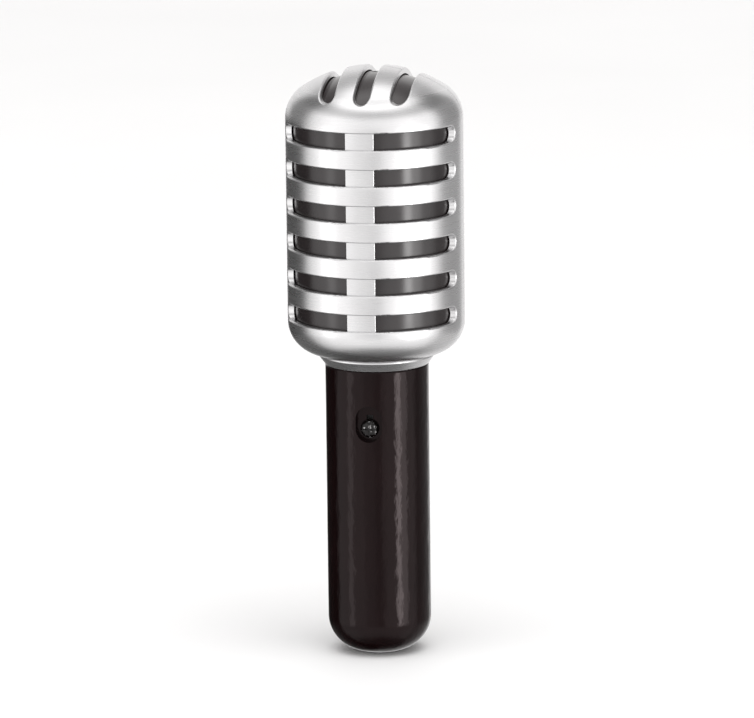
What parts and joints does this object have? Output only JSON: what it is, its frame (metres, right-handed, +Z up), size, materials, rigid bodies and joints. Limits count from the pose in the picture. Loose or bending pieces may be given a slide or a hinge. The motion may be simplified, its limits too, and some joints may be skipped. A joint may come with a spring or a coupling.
{
  "type": "toy microphone",
  "caption": "Retro toy hand microphone: silver slotted drum head with a domed top on a round glossy black handle, with a slide switch and a jack socket in its base.",
  "frame": {"origin": "centre of the flat at the bottom of the handle", "axes": "+Z up the microphone's axis to the top of the head; the front, with the switch and the spine between the slots, faces -Y"},
  "size_m": [0.053, 0.053, 0.1777],
  "materials": {
    "silver_shell": "satin silver paint over ABS",
    "liner_dark": "glossy near-black",
    "handle_black": "polished black ABS",
    "black_abs": "moulded, matt",
    "screw_steel": "zinc plated",
    "black_rubber": "matt",
    "foam_grey": "open-cell foam",
    "capsule_aluminium": "satin",
    "contact_brass": "bright",
    "circuit_board": "phenolic paper board",
    "felt_black": "felt",
    "knob_black": "glossy dark plastic",
    "can_steel": "tinned",
    "socket_black": "moulded",
    "contact_nickel": "nickel plated",
    "lead_red": "PVC insulation",
    "lead_black": "PVC insulation"
  },
  "bodies": {
    "microphone": {"head_shell_front": "silver_shell", "head_shell_rear": "silver_shell", "collar_ring": "silver_shell", "head_liner": "liner_dark", "handle_shell_front": "handle_black", "handle_shell_rear": "handle_black", "neck_tube": "black_abs", "capsule_post": "black_abs", "head_screws": "screw_steel", "handle_screws": "screw_steel", "capsule_post_screws": "screw_steel", "switch_screws": "screw_steel", "capsule_cushion": "black_rubber", "foam_windshield": "foam_grey", "capsule_can": "capsule_aluminium", "capsule_back_plate": "contact_brass", "capsule_diaphragm": "capsule_aluminium", "capsule_spacer": "black_abs", "capsule_board": "circuit_board", "capsule_felt": "felt_black", "switch_can": "can_steel", "switch_base": "circuit_board", "switch_terminals": "contact_brass", "jack_body": "socket_black", "jack_bush": "contact_nickel", "jack_tip_contact": "contact_nickel", "jack_sleeve_tag": "contact_nickel", "lead_capsule_to_switch": "lead_red", "lead_switch_to_jack": "lead_red", "lead_ground": "lead_black"},
    "switch": {"switch_knob": "knob_black", "switch_slider": "black_abs", "switch_wiper": "contact_brass"}
  },
  "joints": [
    {"name": "switch_slide", "type": "slide", "parent": "microphone", "child": "switch", "axis": [0, 0, 1], "range_m": [0, 0.003]}
  ]
}
